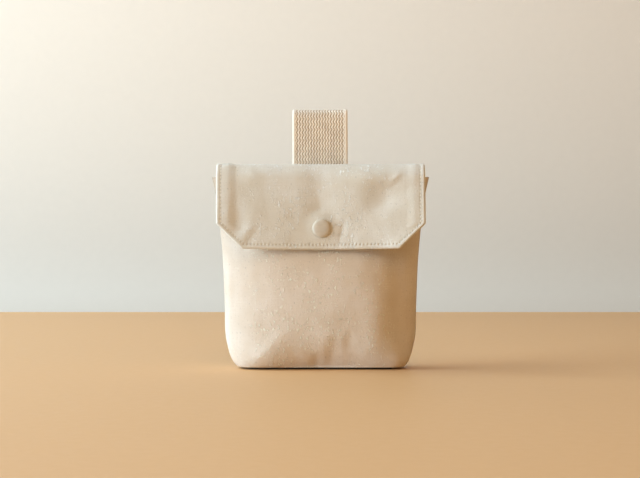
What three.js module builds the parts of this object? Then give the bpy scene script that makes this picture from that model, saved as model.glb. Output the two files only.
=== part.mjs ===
// A small cotton canvas pouch that stands on its flat base: two body panels with boxed bottom corners,
// a turned flap that closes with a press snap, and a folded webbing loop behind it.
// Millimetres, +Z up, the front faces -Y, the origin is on the surface under the middle of the pouch.
import * as THREE from 'three';

// Cloth and clearances
const CANVAS = 1.4;
const SEAM_GAP = 0.3;
const PIECE_GAP = 0.3;
const SEWN_GAP = 0.5;

// Body
const MOUTH_HEIGHT = 131;
const HEM_HEIGHT = 12;
const HEM_CLOTH = 2.6;
const FOLD_START = 1;
const FOLD_FADE_HEIGHT = 6;
const FOLD_FADE_SIDE = 0.12;
const PANEL_COLUMNS = 40;
const OUTLINE_STEPS = 360;
const SPINE_HALF = 38;
const BASE_STEPS = [0, 0.35, 0.7];
const WALL_HEIGHTS = [
  0, 2, 5, 9, 13, 18, 24, 31, 39, 48, 57, 66, 75, 84, 91, 98, 105, 112, 118.6, 119.4, 125, 131,
];

// Flap
const FLAP_HALF_WIDTH = 70.8;
const FLAP_TOP_HALF_WIDTH = 72.2;
const FLAP_CLOTH = 2.4;
const FLAP_TOP = 140;
const FLAP_BOTTOM = 82;
const FLAP_BOTTOM_SAG = 0.8;
const FLAP_SAG_HEIGHT = 12;
const FLAP_HOLLOW = 1.5;
const FLAP_HOLLOW_FADE = 20;
const FLAP_MIDDLE_COLUMNS = 22;
const FLAP_EDGE_ROUND = 1.2;
const FLAP_ARCH_FOOT = 128;
const FLAP_MOUTH_CLEARANCE = 2.9;
const FLAP_TAIL_CLEARANCE = 2;
const FLAP_TAIL_HALF_WIDTH = 70;
const FLAP_ROLL = 0.7;
const CHAMFER_START = 98.8;
const CHAMFER_WIDTH = 17.5;
const ALLOWANCE_WIDTH = 8;
const ALLOWANCE_STEP = 1;
const ALLOWANCE_LIFT = 0.55;
const ALLOWANCE_FADE = 4;
const ALLOWANCE_ARCH_START = 0.3;
const ARCH_STEPS = 9;
const TAIL_HEIGHTS = [100, 107, 114, 119];
const DROP_HEIGHTS = [124, 118, 112, 106, 101.5, 97, 93, 89, 85.5, 82];

// Press snap, measured along its axis from the outside of the front panel
const SNAP_X = 1;
const SNAP_HEIGHT = 95.3;
const SNAP_SEAT_RADIUS = 8;
const SNAP_SEAT_FADE = 9;
const CAP_RADIUS = 6.3;
const CAP_THICKNESS = 1.5;
const SNAP_RADIUS = 5.2;
const STUD_BASE = 1;
const STUD_POST_RADIUS = 2;
const STUD_POST = 1.2;
const SOCKET_THICKNESS = 1.6;
const SOCKET_WALL_RADIUS = 2.4;
const SNAP_SIDES = 24;
const CLOTH_GAP = 0.42;
const STAND_OFF = PIECE_GAP + STUD_BASE + PIECE_GAP + SOCKET_THICKNESS + CLOTH_GAP;

// Webbing loop
const WEBBING_WIDTH = 38.2;
const WEBBING_CLOTH = 1.9;
const LOOP_COLUMNS = 4;

// Level sections of the body. The outline is halfDepth * (1 - |x / halfWidth| ^ flatness) ^ (1 / roundness).
const SECTIONS = [
  { z: 0, halfWidth: 54.3, halfDepth: 14.6, flatness: 12, roundness: 2.6 },
  { z: 2, halfWidth: 56.3, halfDepth: 15.8, flatness: 10, roundness: 2.2 },
  { z: 5, halfWidth: 58.8, halfDepth: 17.3, flatness: 8.2, roundness: 1.85 },
  { z: 9, halfWidth: 61.5, halfDepth: 18.5, flatness: 6.8, roundness: 1.55 },
  { z: 13, halfWidth: 63.2, halfDepth: 19.1, flatness: 5.9, roundness: 1.36 },
  { z: 20, halfWidth: 65.1, halfDepth: 19.2, flatness: 5, roundness: 1.18 },
  { z: 27, halfWidth: 65.8, halfDepth: 18.9, flatness: 4.5, roundness: 1.1 },
  { z: 40, halfWidth: 66, halfDepth: 18.2, flatness: 4.2, roundness: 1.04 },
  { z: 54, halfWidth: 66.5, halfDepth: 17.2, flatness: 4, roundness: 1.01 },
  { z: 67, halfWidth: 67, halfDepth: 15.9, flatness: 3.9, roundness: 1 },
  { z: 81, halfWidth: 67.9, halfDepth: 14.4, flatness: 3.8, roundness: 1 },
  { z: 95, halfWidth: 69.2, halfDepth: 12.7, flatness: 3.6, roundness: 1 },
  { z: 108, halfWidth: 70.7, halfDepth: 10.9, flatness: 3.3, roundness: 1 },
  { z: 121, halfWidth: 72.3, halfDepth: 8.7, flatness: 2.9, roundness: 1 },
  { z: 131, halfWidth: 74, halfDepth: 6.8, flatness: 2.6, roundness: 1 },
];

// Soft folds. A fold runs through (x, z) at an angle from the vertical, positive towards +X at its top;
// a positive lift stands out, a negative one is a trough.
const FRONT_FOLDS = [
  { x: 4, z: 5, angle: 90, length: 36, width: 6, lift: -1.2 },
  { x: -3.5, z: 8, angle: 30, length: 8, width: 4, lift: -0.8 },
  { x: 11, z: 14, angle: 35, length: 12, width: 5, lift: -1.3 },
  { x: 19, z: 12, angle: 8, length: 8, width: 4, lift: -0.6 },
  { x: -40, z: 12, angle: 51, length: 17, width: 6.5, lift: 2.6 },
  { x: -24, z: 45, angle: 3, length: 40, width: 12, lift: 0.5 },
  { x: 22, z: 34, angle: 0, length: 22, width: 11, lift: 0.9 },
  { x: 37, z: 36, angle: 4, length: 16, width: 5, lift: -0.5 },
  { x: 50, z: 28, angle: -6, length: 22, width: 7, lift: -1.1 },
  { x: 40, z: 12, angle: -51, length: 15, width: 6.5, lift: 0.9 },
  { x: 61, z: 8, angle: -35, length: 12, width: 8, lift: 2 },
];
const BACK_FOLDS = [
  { x: 12, z: 14, angle: 6, length: 12, width: 5, lift: -0.9 },
  { x: -9, z: 12, angle: -9, length: 10, width: 4.5, lift: -0.8 },
  { x: -46, z: 16, angle: 50, length: 14, width: 6, lift: -0.9 },
  { x: 45, z: 18, angle: -48, length: 15, width: 6, lift: -0.9 },
  { x: 28, z: 62, angle: 18, length: 30, width: 9, lift: 0.6 },
  { x: -30, z: 54, angle: -14, length: 26, width: 8, lift: -0.6 },
];
const FLAP_FOLDS = [
  { x: 0.7, z: 116, angle: -8, length: 17, width: 10, lift: -1.5 },
  { x: 26, z: 124, angle: 10, length: 13, width: 8, lift: 0.7 },
  { x: 44, z: 122, angle: 40, length: 14, width: 6, lift: -1.2 },
  { x: -50.5, z: 92, angle: 40, length: 7, width: 3.2, lift: 0.5 },
  { x: 16, z: 93, angle: 28, length: 7, width: 2.8, lift: -0.5 },
  { x: 44, z: 89, angle: 0, length: 7, width: 4, lift: -0.4 },
  { x: -18, z: 104, angle: 10, length: 5, width: 4, lift: -0.4 },
];

// Centre line of the folded webbing in the YZ plane: sewn heights, then the free legs up to a round head
const LOOP_TOP = 179;
const LOOP_HEAD_RADIUS = 5;
const LOOP_HEAD_Y = 16.5;
const LOOP_HEAD_STEPS = 6;
const LOOP_SEWN_HEIGHTS = [103, 110, 117];
const LOOP_LEGS = [
  { z: 124, frontY: 13.5, backY: 16.2 },
  { z: 132, frontY: 12.9, backY: 17.4 },
  { z: 142, frontY: 12.2, backY: 19.3 },
  { z: 152, frontY: 11.6, backY: 20.7 },
  { z: 162, frontY: 11.3, backY: 21.4 },
];

const lerp = (from, to, part) => from + (to - from) * part;
const clamp01 = (value) => Math.min(1, Math.max(0, value));
const smooth = (value) => clamp01(value) ** 2 * (3 - 2 * clamp01(value));

// A smooth curve through one column of the section table.
function sectionValue(column, z) {
  const last = SECTIONS.length - 1;
  let row = 0;
  while (row < last - 1 && z > SECTIONS[row + 1].z) row += 1;
  const slope = (index) => {
    const low = SECTIONS[Math.max(0, index - 1)];
    const high = SECTIONS[Math.min(last, index + 1)];
    return (high[column] - low[column]) / (high.z - low.z);
  };
  const from = SECTIONS[row];
  const to = SECTIONS[row + 1];
  const span = to.z - from.z;
  const t = clamp01((z - from.z) / span);
  const ease = t * t * (3 - 2 * t);
  const leave = t * (1 - t) * (1 - t) * span * slope(row);
  const arrive = t * t * (t - 1) * span * slope(row + 1);
  return lerp(from[column], to[column], ease) + leave + arrive;
}

// Half of the body's outline at height z, from the left side seam to the right one, on the +Y side.
function outlineAt(z) {
  const halfWidth = sectionValue('halfWidth', z);
  const halfDepth = sectionValue('halfDepth', z);
  const flatness = sectionValue('flatness', z);
  const roundness = sectionValue('roundness', z);
  const points = [];
  for (let i = 0; i <= OUTLINE_STEPS; i += 1) {
    const turn = Math.PI * (i / OUTLINE_STEPS - 0.5);
    const across = Math.sin(turn);
    const rise = Math.max(0, 1 - Math.abs(across) ** flatness) ** (1 / roundness);
    points.push(new THREE.Vector2(halfWidth * across, SEAM_GAP / 2 + halfDepth * rise));
  }
  return points;
}

function outwardNormal(points, index) {
  const before = points[Math.max(0, index - 1)];
  const after = points[Math.min(points.length - 1, index + 1)];
  const along = after.clone().sub(before).normalize();
  return new THREE.Vector2(-along.y, along.x);
}

// The outline moved inward by the thickness of the cloth and cut off at the seam plane.
function insetOutline(points, cloth) {
  const moved = points.map((point, i) => point.clone().addScaledVector(outwardNormal(points, i), -cloth));
  const floor = SEAM_GAP / 2;
  const inside = moved.filter((point) => point.y > floor + 1e-6);
  const extend = (tip, next) => {
    const run = (tip.x - next.x) / Math.max(1e-6, next.y - tip.y);
    return new THREE.Vector2(tip.x + run * (tip.y - floor), floor);
  };
  const end = inside.length - 1;
  return [extend(inside[0], inside[1]), ...inside, extend(inside[end], inside[end - 1])];
}

// Points of a polyline at given distances from its middle, as parts of half its length.
function spread(points, places) {
  const reach = [0];
  for (let i = 1; i < points.length; i += 1) reach.push(reach[i - 1] + points[i].distanceTo(points[i - 1]));
  const half = reach[reach.length - 1] / 2;
  return places.map((place) => {
    const target = half * (1 + place);
    let i = 1;
    while (i < points.length - 1 && reach[i] < target) i += 1;
    const part = clamp01((target - reach[i - 1]) / (reach[i] - reach[i - 1]));
    const point = points[i - 1].clone().lerp(points[i], part);
    return { point, normal: outwardNormal(points, i) };
  });
}

function foldLift(folds, x, z) {
  let lift = 0;
  for (const fold of folds) {
    const angle = THREE.MathUtils.degToRad(fold.angle);
    const dx = x - fold.x;
    const dz = z - fold.z;
    const along = dx * Math.sin(angle) + dz * Math.cos(angle);
    const across = dx * Math.cos(angle) - dz * Math.sin(angle);
    lift += fold.lift * Math.exp(-((along / fold.length) ** 2) - (across / fold.width) ** 2);
  }
  return lift;
}

// One closed thin solid from two grids of points, with a rim that may stand out as a rolled edge.
function shell(outer, inner, roll = 0) {
  const rows = outer.length;
  const columns = outer[0].length;
  const vertices = [];
  const triangles = [];
  const place = (grid) => grid.map((row) => row.map((point) => vertices.push(point) - 1));
  const outerIds = place(outer);
  const innerIds = place(inner);
  const quad = (a, b, c, d) => triangles.push([a, b, c], [a, c, d]);
  for (let r = 0; r < rows - 1; r += 1) {
    for (let c = 0; c < columns - 1; c += 1) {
      quad(outerIds[r][c], outerIds[r][c + 1], outerIds[r + 1][c + 1], outerIds[r + 1][c]);
      quad(innerIds[r][c], innerIds[r + 1][c], innerIds[r + 1][c + 1], innerIds[r][c + 1]);
    }
  }
  const border = [];
  for (let c = 0; c < columns - 1; c += 1) border.push([0, c]);
  for (let r = 0; r < rows - 1; r += 1) border.push([r, columns - 1]);
  for (let c = columns - 1; c > 0; c -= 1) border.push([rows - 1, c]);
  for (let r = rows - 1; r > 0; r -= 1) border.push([r, 0]);
  const middle = (r, c) => outer[r][c].clone().add(inner[r][c]).multiplyScalar(0.5);
  const rimPoint = ([r, c]) => {
    const inward = middle(Math.min(rows - 2, Math.max(1, r)), Math.min(columns - 2, Math.max(1, c)));
    const edge = middle(r, c);
    const away = edge.clone().sub(inward).normalize();
    return edge.addScaledVector(away, roll);
  };
  const rim = roll > 0 ? border.map((spot) => vertices.push(rimPoint(spot)) - 1) : [];
  border.forEach(([r, c], i) => {
    const j = (i + 1) % border.length;
    const [nextR, nextC] = border[j];
    if (roll > 0) {
      quad(outerIds[nextR][nextC], outerIds[r][c], rim[i], rim[j]);
      quad(rim[j], rim[i], innerIds[r][c], innerIds[nextR][nextC]);
    } else {
      quad(outerIds[nextR][nextC], outerIds[r][c], innerIds[r][c], innerIds[nextR][nextC]);
    }
  });
  let volume = 0;
  for (const [a, b, c] of triangles) volume += vertices[a].dot(vertices[b].clone().cross(vertices[c]));
  const faces = volume < 0 ? triangles.map(([a, b, c]) => [a, c, b]) : triangles;
  const geometry = new THREE.BufferGeometry();
  const coordinates = vertices.flatMap((vertex) => vertex.toArray());
  geometry.setAttribute('position', new THREE.Float32BufferAttribute(coordinates, 3));
  geometry.setIndex(faces.flat());
  geometry.computeVertexNormals();
  return geometry;
}

// How far the cloth is held flat by the snap: fully under it, not at all further out.
function seatWeight(x, z) {
  const radius = Math.hypot(x - SNAP_X, z - SNAP_HEIGHT);
  return smooth((SNAP_SEAT_RADIUS + SNAP_SEAT_FADE - radius) / SNAP_SEAT_FADE);
}

const snapDepth = sectionValue('halfDepth', SNAP_HEIGHT) + SEAM_GAP / 2;
const SNAP_LEAN_SPAN = 10;
const depthBelowSnap = sectionValue('halfDepth', SNAP_HEIGHT - SNAP_LEAN_SPAN / 2);
const depthAboveSnap = sectionValue('halfDepth', SNAP_HEIGHT + SNAP_LEAN_SPAN / 2);
const snapLean = (depthBelowSnap - depthAboveSnap) / SNAP_LEAN_SPAN;
const snapPlane = (z) => snapDepth - snapLean * (z - SNAP_HEIGHT);

const panelPlaces = Array.from({ length: PANEL_COLUMNS + 1 }, (_, i) => (2 * i) / PANEL_COLUMNS - 1);

// One level row of a panel's wall, on the +Y side.
function wallRow(z, folds, hasSnap, inset) {
  const outline = outlineAt(z);
  const outside = spread(outline, panelPlaces);
  const placed = inset > 0 ? spread(insetOutline(outline, inset), panelPlaces) : outside;
  const height = inset > 0 ? lerp(CANVAS, MOUTH_HEIGHT, z / MOUTH_HEIGHT) : z;
  return placed.map(({ point, normal }, i) => {
    const from = outside[i].point;
    const edge = 1 - Math.abs(panelPlaces[i]);
    const fade = smooth(edge / FOLD_FADE_SIDE) * smooth((z - FOLD_START) / FOLD_FADE_HEIGHT);
    const seat = hasSnap ? seatWeight(from.x, z) : 0;
    const lift = foldLift(folds, from.x, z) * fade * (1 - seat);
    const x = point.x + normal.x * lift;
    const y = point.y + normal.y * lift;
    return new THREE.Vector3(x, y + seat * (snapPlane(z) - from.y), height);
  });
}

function baseRow(part, inset) {
  const edge = wallRow(0, [], false, inset);
  return edge.map((point, i) => {
    const spine = new THREE.Vector3(panelPlaces[i] * SPINE_HALF, SEAM_GAP / 2, point.z);
    return spine.lerp(point, part);
  });
}

function panelGeometry(side, folds, hasSnap) {
  const clothAt = (z) => (z > MOUTH_HEIGHT - HEM_HEIGHT ? HEM_CLOTH : CANVAS);
  const grid = (inset) => [
    ...BASE_STEPS.map((part) => baseRow(part, inset ? CANVAS : 0)),
    ...WALL_HEIGHTS.map((z) => wallRow(z, folds, hasSnap, inset ? clothAt(z) : 0)),
  ];
  const turn = (rows) => rows.map((row) => row.map((p) => new THREE.Vector3(p.x, side * p.y, p.z)));
  return shell(turn(grid(false)), turn(grid(true)));
}

// The middle of the flap's cloth at height z on the back, following the back panel across its whole width.
function flapTailRow(z, places, gap) {
  const outline = outlineAt(z);
  let length = 0;
  for (let i = 1; i < outline.length; i += 1) length += outline[i].distanceTo(outline[i - 1]);
  const part = FLAP_TAIL_HALF_WIDTH / (length / 2);
  const onBack = spread(outline, places.map((place) => place * part));
  const lift = gap + FLAP_CLOTH / 2;
  return onBack.map(({ point, normal }) => {
    const moved = point.clone().addScaledVector(normal, lift);
    return new THREE.Vector3(moved.x, moved.y, z);
  });
}

const flapSnapDepth = snapDepth + STAND_OFF + FLAP_CLOTH / 2;
const flapFootDepth = sectionValue('halfDepth', FLAP_ARCH_FOOT) + FLAP_MOUTH_CLEARANCE + FLAP_CLOTH / 2;

// Depth of the middle of the flap's cloth in front: parallel to the panel at the snap, closer in at the top.
function flapFrontDepth(z) {
  const straight = flapSnapDepth - snapLean * (z - SNAP_HEIGHT);
  const above = clamp01((z - SNAP_HEIGHT) / (FLAP_ARCH_FOOT - SNAP_HEIGHT));
  const straightFoot = flapSnapDepth - snapLean * (FLAP_ARCH_FOOT - SNAP_HEIGHT);
  return straight + (flapFootDepth - straightFoot) * above * above;
}

function flapHalfWidth(z) {
  const below = clamp01((CHAMFER_START - z) / (CHAMFER_START - FLAP_BOTTOM));
  const above = clamp01((z - CHAMFER_START) / (FLAP_TOP - CHAMFER_START));
  return lerp(FLAP_HALF_WIDTH, FLAP_TOP_HALF_WIDTH, above) - CHAMFER_WIDTH * below;
}

const flapPlaces = (() => {
  const edge = [0, FLAP_EDGE_ROUND, ALLOWANCE_WIDTH - ALLOWANCE_STEP, ALLOWANCE_WIDTH];
  const left = edge.map((inset) => -1 + inset / FLAP_HALF_WIDTH);
  const inner = 1 - (ALLOWANCE_WIDTH + FLAP_EDGE_ROUND) / FLAP_HALF_WIDTH;
  const spot = (_, i) => lerp(-inner, inner, i / FLAP_MIDDLE_COLUMNS);
  const middle = Array.from({ length: FLAP_MIDDLE_COLUMNS + 1 }, spot);
  return [...left, ...middle, ...left.map((place) => -place).reverse()];
})();

function flapRows() {
  const rows = [];
  for (const z of TAIL_HEIGHTS) {
    const tail = flapTailRow(z, flapPlaces, SEWN_GAP);
    rows.push(tail.map((point) => ({ point, x: 0, z: 0, drop: 0, raised: 0 })));
  }
  const foot = flapTailRow(FLAP_ARCH_FOOT, flapPlaces, FLAP_TAIL_CLEARANCE);
  const frontDepth = flapFrontDepth(FLAP_ARCH_FOOT);
  const archRise = FLAP_TOP - FLAP_CLOTH / 2 - FLAP_ARCH_FOOT;
  for (let step = 0; step <= ARCH_STEPS; step += 1) {
    const angle = (Math.PI * step) / ARCH_STEPS;
    rows.push(flapPlaces.map((place, i) => {
      const across = (1 - Math.cos(angle)) / 2;
      const middle = (foot[i].y - frontDepth) / 2;
      const reach = (foot[i].y + frontDepth) / 2;
      const z = FLAP_ARCH_FOOT + archRise * Math.sin(angle);
      const x = lerp(foot[i].x, place * flapHalfWidth(z), smooth(2 * across));
      const y = middle + reach * Math.cos(angle);
      const raised = smooth(2 * (across - ALLOWANCE_ARCH_START));
      return { point: new THREE.Vector3(x, y, z), x: 0, z: 0, drop: 0, raised };
    }));
  }
  for (const z of DROP_HEIGHTS) {
    const halfWidth = flapHalfWidth(z);
    rows.push(flapPlaces.map((place) => {
      const x = place * halfWidth;
      const end = 1 - clamp01((z - FLAP_BOTTOM) / FLAP_SAG_HEIGHT);
      const sag = FLAP_BOTTOM_SAG * (1 - (x / halfWidth) ** 2) * end;
      const hollow = FLAP_HOLLOW * place ** 2 * smooth((FLAP_ARCH_FOOT - z) / FLAP_HOLLOW_FADE);
      const point = new THREE.Vector3(x, -flapFrontDepth(z) - hollow, z - sag);
      return { point, x, z, drop: 1, raised: smooth((z - CHAMFER_START) / ALLOWANCE_FADE + 1) };
    }));
  }
  return rows;
}

function flapGeometry() {
  const rows = flapRows();
  const at = (r, c) => rows[r][c].point;
  const outer = [];
  const inner = [];
  rows.forEach((row, r) => {
    outer.push([]);
    inner.push([]);
    row.forEach(({ point, x, z, drop, raised }, c) => {
      const lengthwise = at(Math.min(rows.length - 1, r + 1), c).clone().sub(at(Math.max(0, r - 1), c));
      const crosswise = at(r, Math.min(row.length - 1, c + 1)).clone().sub(at(r, Math.max(0, c - 1)));
      const normal = lengthwise.cross(crosswise).normalize();
      const wave = drop * foldLift(FLAP_FOLDS, x, z) * (1 - seatWeight(x, z));
      const edge = (1 - Math.abs(flapPlaces[c])) * FLAP_HALF_WIDTH;
      const band = smooth(edge / FLAP_EDGE_ROUND) * smooth((ALLOWANCE_WIDTH - edge) / ALLOWANCE_STEP);
      const top = FLAP_CLOTH / 2 + wave + ALLOWANCE_LIFT * band * raised;
      outer[r].push(point.clone().addScaledVector(normal, top));
      inner[r].push(point.clone().addScaledVector(normal, wave - FLAP_CLOTH / 2));
    });
  });
  return shell(outer, inner, FLAP_ROLL);
}

function loopGeometry() {
  const onTail = (z) => sectionValue('halfDepth', z) + SEAM_GAP / 2 + SEWN_GAP + FLAP_CLOTH + CLOTH_GAP;
  const sewn = (layer) => LOOP_SEWN_HEIGHTS.map((z) => {
    const y = onTail(z) + WEBBING_CLOTH / 2 + layer * (WEBBING_CLOTH + PIECE_GAP);
    return new THREE.Vector3(0, y, z);
  });
  const leg = (column) => LOOP_LEGS.map((row) => new THREE.Vector3(0, row[column], row.z));
  const headHeight = LOOP_TOP - WEBBING_CLOTH / 2 - LOOP_HEAD_RADIUS;
  const head = Array.from({ length: LOOP_HEAD_STEPS + 1 }, (_, i) => {
    const angle = Math.PI * (1 - i / LOOP_HEAD_STEPS);
    const y = LOOP_HEAD_Y + LOOP_HEAD_RADIUS * Math.cos(angle);
    return new THREE.Vector3(0, y, headHeight + LOOP_HEAD_RADIUS * Math.sin(angle));
  });
  const corners = [...sewn(0), ...leg('frontY'), ...head, ...leg('backY').reverse(), ...sewn(1).reverse()];
  const curve = new THREE.CatmullRomCurve3(corners, false, 'centripetal');
  const steps = 2 * (corners.length - 1);
  const outer = [];
  const inner = [];
  for (let i = 0; i <= steps; i += 1) {
    const centre = curve.getPoint(i / steps);
    const along = curve.getTangent(i / steps);
    const normal = new THREE.Vector3(0, -along.z, along.y);
    const row = (lift) => Array.from({ length: LOOP_COLUMNS + 1 }, (_, c) => {
      const point = centre.clone().addScaledVector(normal, lift);
      point.x = WEBBING_WIDTH * (c / LOOP_COLUMNS - 0.5);
      return point;
    });
    outer.push(row(WEBBING_CLOTH / 2));
    inner.push(row(-WEBBING_CLOTH / 2));
  }
  return shell(outer, inner);
}

// A round snap part: its profile runs from the axis out and back to the axis, along the snap's own axis.
function snapPart(name, profile, material) {
  const points = profile.map(([radius, height]) => new THREE.Vector2(radius, height));
  const mesh = new THREE.Mesh(new THREE.LatheGeometry(points, SNAP_SIDES), material);
  mesh.name = name;
  return mesh;
}

function capProfile(bottom, height) {
  const top = bottom + height;
  return [
    [0, bottom],
    [CAP_RADIUS - 0.5, bottom],
    [CAP_RADIUS, bottom + 0.35 * height],
    [CAP_RADIUS - 0.25, bottom + 0.7 * height],
    [CAP_RADIUS - 1.1, top - 0.08 * height],
    [CAP_RADIUS * 0.5, top],
    [0, top + 0.04 * height],
  ];
}

const material = (color, roughness) => new THREE.MeshStandardMaterial({ color, roughness, metalness: 0 });
const canvasFront = material('#d8c6ac', 0.95);
const canvasBack = material('#d3c0a5', 0.95);
const canvasFlap = material('#d6c4a9', 0.95);
const webbing = material('#c9b697', 0.95);
const capPlastic = material('#d2b892', 0.45);
const socketPlastic = material('#cdb28b', 0.5);
const studPlastic = material('#cbb089', 0.5);
const studCapPlastic = material('#d0b690', 0.45);

function piece(name, geometry, look) {
  const mesh = new THREE.Mesh(geometry, look);
  mesh.name = name;
  return mesh;
}

function snapGroup() {
  const studTop = PIECE_GAP + STUD_BASE;
  const socketBottom = studTop + PIECE_GAP;
  const socketTop = socketBottom + SOCKET_THICKNESS;
  const postTop = studTop + STUD_POST;
  const capBottom = STAND_OFF + FLAP_CLOTH + PIECE_GAP;
  const studCapTop = -CANVAS - PIECE_GAP;
  const stud = [
    [0, PIECE_GAP],
    [SNAP_RADIUS, PIECE_GAP],
    [SNAP_RADIUS, studTop],
    [STUD_POST_RADIUS, studTop],
    [STUD_POST_RADIUS, postTop - 0.3],
    [STUD_POST_RADIUS - 0.4, postTop],
    [0, postTop],
  ];
  const socket = [
    [0, postTop + PIECE_GAP],
    [SOCKET_WALL_RADIUS, postTop + PIECE_GAP],
    [SOCKET_WALL_RADIUS, socketBottom],
    [SNAP_RADIUS - 0.3, socketBottom],
    [SNAP_RADIUS, socketBottom + 0.3],
    [SNAP_RADIUS, socketTop],
    [0, socketTop],
  ];
  const outerCap = capProfile(0, CAP_THICKNESS);
  const studCap = outerCap.map(([radius, height]) => [radius, studCapTop - height]).reverse();
  const group = new THREE.Group();
  group.add(snapPart('snap_cap', capProfile(capBottom, CAP_THICKNESS), capPlastic));
  group.add(snapPart('snap_socket', socket, socketPlastic));
  group.add(snapPart('snap_stud', stud, studPlastic));
  group.add(snapPart('stud_cap', studCap, studCapPlastic));
  group.position.set(SNAP_X, -snapDepth, SNAP_HEIGHT);
  group.rotation.x = Math.PI - Math.atan(snapLean);
  return group;
}

const pouch = new THREE.Group();
pouch.name = 'treat_pouch';
pouch.add(piece('front_panel', panelGeometry(-1, FRONT_FOLDS, true), canvasFront));
pouch.add(piece('back_panel', panelGeometry(1, BACK_FOLDS, false), canvasBack));
pouch.add(piece('flap', flapGeometry(), canvasFlap));
pouch.add(piece('belt_loop', loopGeometry(), webbing));
pouch.add(snapGroup());

export default pouch;
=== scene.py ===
"""A small cotton canvas treat pouch that stands closed on a pale table: two body panels with boxed corners,
a turned flap with a press snap, and a folded webbing loop behind it. The front faces -Y."""

from collections import namedtuple
from math import atan, cos, hypot, pi, radians, sin, sqrt

import bpy
import numpy as np
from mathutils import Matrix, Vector


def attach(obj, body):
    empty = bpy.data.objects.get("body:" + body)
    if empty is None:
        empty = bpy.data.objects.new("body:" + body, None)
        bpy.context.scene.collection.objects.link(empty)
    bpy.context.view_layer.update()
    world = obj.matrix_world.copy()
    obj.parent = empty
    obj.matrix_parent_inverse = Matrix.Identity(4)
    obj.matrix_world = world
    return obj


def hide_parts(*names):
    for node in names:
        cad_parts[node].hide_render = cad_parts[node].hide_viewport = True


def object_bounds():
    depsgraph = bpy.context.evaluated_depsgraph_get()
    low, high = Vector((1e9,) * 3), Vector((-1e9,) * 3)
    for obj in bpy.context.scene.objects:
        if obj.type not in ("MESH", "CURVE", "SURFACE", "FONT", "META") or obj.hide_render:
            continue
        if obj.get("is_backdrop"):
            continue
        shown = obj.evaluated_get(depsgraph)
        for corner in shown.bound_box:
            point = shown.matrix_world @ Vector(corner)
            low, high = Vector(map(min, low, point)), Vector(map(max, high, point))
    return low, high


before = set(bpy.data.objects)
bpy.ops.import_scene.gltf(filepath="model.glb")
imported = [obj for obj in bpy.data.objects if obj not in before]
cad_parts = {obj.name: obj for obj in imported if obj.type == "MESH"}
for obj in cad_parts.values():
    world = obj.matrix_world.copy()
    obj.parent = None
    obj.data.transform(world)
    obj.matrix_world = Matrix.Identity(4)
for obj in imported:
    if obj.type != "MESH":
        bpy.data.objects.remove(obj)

cad_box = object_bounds()

# Sizes are millimetres up to the point where a mesh is made. They follow the frame's solids, apart from the
# small differences of fine cloth.
MM = 0.001
TINY = 1e-6
UV_SPAN = 100  # millimetres of cloth in one unit of a UV map

# Body
CANVAS = 1.4
SEAM_GAP = 0.3
PIECE_GAP = 0.3
SEWN_GAP = 0.5
MOUTH_HEIGHT = 131
HEM_HEIGHT = 12
HEM_CLOTH = 2.6
FOLD_START = 0.5
FOLD_FADE_HEIGHT = 2
FOLD_FADE_SIDE = 0.12
OUTLINE_STEPS = 900
SPINE_HALF = 38
BASE_REACH = 17

# Flap
FLAP_HALF_WIDTH = 70.8
FLAP_TOP_HALF_WIDTH = 71.5
FLAP_CLOTH = 2.4
FLAP_TOP = 140
FLAP_BOTTOM = 82
FLAP_SAG = 0.8
FLAP_SAG_HEIGHT = 12
ARCH_FOOT = 128
MOUTH_CLEARANCE = 2.9
TAIL_CLEARANCE = 2
TAIL_HALF_WIDTH = 70
TAIL_END = 100
TAIL_SEWN = 119
CHAMFER_START = 98.8
CHAMFER_WIDTH = 17.5

# Press snap, measured along its axis from the outside of the front panel
SNAP_X = 1
SNAP_HEIGHT = 94.8
SNAP_REACH = 5
SNAP_SEAT_RADIUS = 8
SNAP_SEAT_FADE = 9
CAP_RADIUS = 6.3
CAP_THICKNESS = 1.5
CAP_DOME = 1.75
SNAP_RADIUS = 5.2
STUD_BASE = 1
STUD_POST_RADIUS = 2
STUD_POST = 1.2
SOCKET_THICKNESS = 1.6
SOCKET_WALL_RADIUS = 2.4
CLOTH_GAP = 0.42
STAND_OFF = PIECE_GAP + STUD_BASE + PIECE_GAP + SOCKET_THICKNESS + CLOTH_GAP

# Webbing loop
WEBBING_WIDTH = 38.2
WEBBING_CLOTH = 1.9
LOOP_TOP = 179
LOOP_HEAD_RADIUS = 5
LOOP_HEAD_Y = 16.5
LOOP_HEAD_STEPS = 6
LOOP_SEWN_HEIGHTS = [103, 110, 117]

# Fine cloth that only shows here
FINE_SEAM_GAP = 0.04
SEAM_VALLEY = 0.3
SEAM_VALLEY_WIDTH = 0.9
BODY_SHIFT = 0.3
RIGHT_SQUARE = 0.4
RIGHT_SQUARE_HEIGHT = 2
RIGHT_SQUARE_FADE = 12
BASE_OVERHANG = 6
BASE_LIP = 1.1
BASE_LIP_ROUND = 0.4
BASE_ROUND = 2.2
BASE_CLOTH = 2.4
HOLLOW_LEFT = 1.5
HOLLOW_RIGHT = 6
HOLLOW_FADE = 42
FLAP_LEFT_IN = 0.8
FLAP_SEAT_RADIUS = 6
FLAP_SEAT_FADE = 9
SNAP_PRESS = 0.5
SNAP_PRESS_RADIUS = 7.6
SNAP_PRESS_FADE = 10
ROLLED_EDGE = 1.35
THINNEST = 0.06
STITCH_INSET = 3.2
STITCH_PITCH = 2.5
STITCH_WIDTH = 0.5
STITCH_SHARE = 0.74
GROOVE_WIDTH = 0.7
GROOVE_DEPTH = 0.4
GROOVE_END = 0.8
HEM_BEAT = 0.3

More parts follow.
